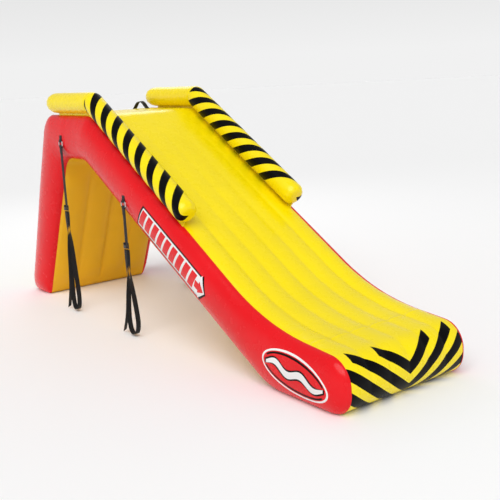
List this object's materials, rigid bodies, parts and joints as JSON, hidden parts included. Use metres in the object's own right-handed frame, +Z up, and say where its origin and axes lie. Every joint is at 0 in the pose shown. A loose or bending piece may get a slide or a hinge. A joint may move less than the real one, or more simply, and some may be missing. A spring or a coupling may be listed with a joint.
{
  "type": "inflatable pool slide",
  "caption": "Inflatable pool slide with a climbing wall, an arched leg, side rails, a curved run-out and tie-down straps.",
  "frame": {"origin": "on the ground, under the middle of the slide's length and width", "axes": "+X from the climbing wall towards the toe of the slide, +Y to a rider's left on the way down, +Z up"},
  "size_m": [3.8763, 1.086, 1.665],
  "materials": {
    "yellow_pvc": "glossy welded PVC sheet",
    "red_pvc": "glossy welded PVC sheet",
    "black_webbing": "woven polyester webbing",
    "steel": "stainless wire",
    "black_plastic": "moulded acetal",
    "valve_plastic": "moulded PVC",
    "valve_rubber": "soft rubber"
  },
  "bodies": {
    "root": {"anchor_patches": "red_pvc", "climbing_panel": "yellow_pvc", "deck_panel": "yellow_pvc", "foot_base_panel": "yellow_pvc", "foot_pocket_bottom": "red_pvc", "foot_pocket_lower": "red_pvc", "foot_pocket_top": "red_pvc", "foot_pocket_upper": "red_pvc", "grab_handle_left": "black_webbing", "grab_handle_right": "black_webbing", "handle_patches": "yellow_pvc", "nose_panel": "yellow_pvc", "rail_front_cap_left": "yellow_pvc", "rail_front_cap_right": "yellow_pvc", "rail_left": "yellow_pvc", "rail_rear_cap_left": "red_pvc", "rail_rear_cap_right": "red_pvc", "rail_right": "yellow_pvc", "rail_seam_left": "yellow_pvc", "rail_seam_right": "yellow_pvc", "ring_tabs": "black_webbing", "side_panel_left": "red_pvc", "side_panel_right": "red_pvc", "slide_baffles": "yellow_pvc", "toe_base_panel": "yellow_pvc", "underside_panel": "yellow_pvc", "valve_base": "valve_plastic", "valve_flap": "valve_rubber", "valve_insert": "valve_plastic", "wall_baffles": "yellow_pvc"},
    "ring_body_rear_right": {"ring_rear_right": "steel"},
    "strap_body_rear_right": {"strap_rear_right": "black_webbing", "strap_loop_rear_right": "black_webbing", "strap_tail_rear_right": "black_webbing", "buckle_rear_right": "black_plastic", "cam_pin_rear_right": "steel"},
    "cam_body_rear_right": {"cam_rear_right": "black_plastic"},
    "ring_body_rear_left": {"ring_rear_left": "steel"},
    "strap_body_rear_left": {"strap_rear_left": "black_webbing", "strap_loop_rear_left": "black_webbing", "strap_tail_rear_left": "black_webbing", "buckle_rear_left": "black_plastic", "cam_pin_rear_left": "steel"},
    "cam_body_rear_left": {"cam_rear_left": "black_plastic"},
    "ring_body_front_right": {"ring_front_right": "steel"},
    "strap_body_front_right": {"strap_front_right": "black_webbing", "strap_loop_front_right": "black_webbing", "strap_tail_front_right": "black_webbing", "buckle_front_right": "black_plastic", "cam_pin_front_right": "steel"},
    "cam_body_front_right": {"cam_front_right": "black_plastic"},
    "ring_body_front_left": {"ring_front_left": "steel"},
    "strap_body_front_left": {"strap_front_left": "black_webbing", "strap_loop_front_left": "black_webbing", "strap_tail_front_left": "black_webbing", "buckle_front_left": "black_plastic", "cam_pin_front_left": "steel"},
    "cam_body_front_left": {"cam_front_left": "black_plastic"},
    "valve_cap_body": {"valve_cap": "valve_plastic"}
  },
  "joints": [
    {"name": "ring_swing_rear_right", "type": "hinge", "parent": "root", "child": "ring_body_rear_right", "pos_m": [-1.00681, -0.524, 1.312], "axis": [-1, 0, 0], "range_deg": [0, 80]},
    {"name": "strap_swing_rear_right", "type": "hinge", "parent": "ring_body_rear_right", "child": "strap_body_rear_right", "pos_m": [-1.00681, -0.524, 1.28], "axis": [-1, 0, 0], "range_deg": [0, 60]},
    {"name": "cam_lift_rear_right", "type": "hinge", "parent": "strap_body_rear_right", "child": "cam_body_rear_right", "pos_m": [-1.00681, -0.5325, 0.813], "axis": [-1, 0, 0], "range_deg": [0, 70], "stiffness_Nm_per_rad": 0.02, "springref_deg": -17.19},
    {"name": "ring_swing_rear_left", "type": "hinge", "parent": "root", "child": "ring_body_rear_left", "pos_m": [-1.00681, 0.524, 1.312], "axis": [1, 0, 0], "range_deg": [0, 80]},
    {"name": "strap_swing_rear_left", "type": "hinge", "parent": "ring_body_rear_left", "child": "strap_body_rear_left", "pos_m": [-1.00681, 0.524, 1.28], "axis": [1, 0, 0], "range_deg": [0, 60]},
    {"name": "cam_lift_rear_left", "type": "hinge", "parent": "strap_body_rear_left", "child": "cam_body_rear_left", "pos_m": [-1.00681, 0.5325, 0.813], "axis": [1, 0, 0], "range_deg": [0, 70], "stiffness_Nm_per_rad": 0.02, "springref_deg": -17.19},
    {"name": "ring_swing_front_right", "type": "hinge", "parent": "root", "child": "ring_body_front_right", "pos_m": [-0.11681, -0.524, 0.94], "axis": [-1, 0, 0], "range_deg": [0, 80]},
    {"name": "strap_swing_front_right", "type": "hinge", "parent": "ring_body_front_right", "child": "strap_body_front_right", "pos_m": [-0.11681, -0.524, 0.908], "axis": [-1, 0, 0], "range_deg": [0, 60]},
    {"name": "cam_lift_front_right", "type": "hinge", "parent": "strap_body_front_right", "child": "cam_body_front_right", "pos_m": [-0.11681, -0.5325, 0.641], "axis": [-1, 0, 0], "range_deg": [0, 70], "stiffness_Nm_per_rad": 0.02, "springref_deg": -17.19},
    {"name": "ring_swing_front_left", "type": "hinge", "parent": "root", "child": "ring_body_front_left", "pos_m": [-0.11681, 0.524, 0.94], "axis": [1, 0, 0], "range_deg": [0, 80]},
    {"name": "strap_swing_front_left", "type": "hinge", "parent": "ring_body_front_left", "child": "strap_body_front_left", "pos_m": [-0.11681, 0.524, 0.908], "axis": [1, 0, 0], "range_deg": [0, 60]},
    {"name": "cam_lift_front_left", "type": "hinge", "parent": "strap_body_front_left", "child": "cam_body_front_left", "pos_m": [-0.11681, 0.5325, 0.641], "axis": [1, 0, 0], "range_deg": [0, 70], "stiffness_Nm_per_rad": 0.02, "springref_deg": -17.19},
    {"name": "valve_cap_swing", "type": "hinge", "parent": "root", "child": "valve_cap_body", "pos_m": [-0.86481, 0, 1.1759], "axis": [0, -1, 0], "range_deg": [0, 140]}
  ]
}
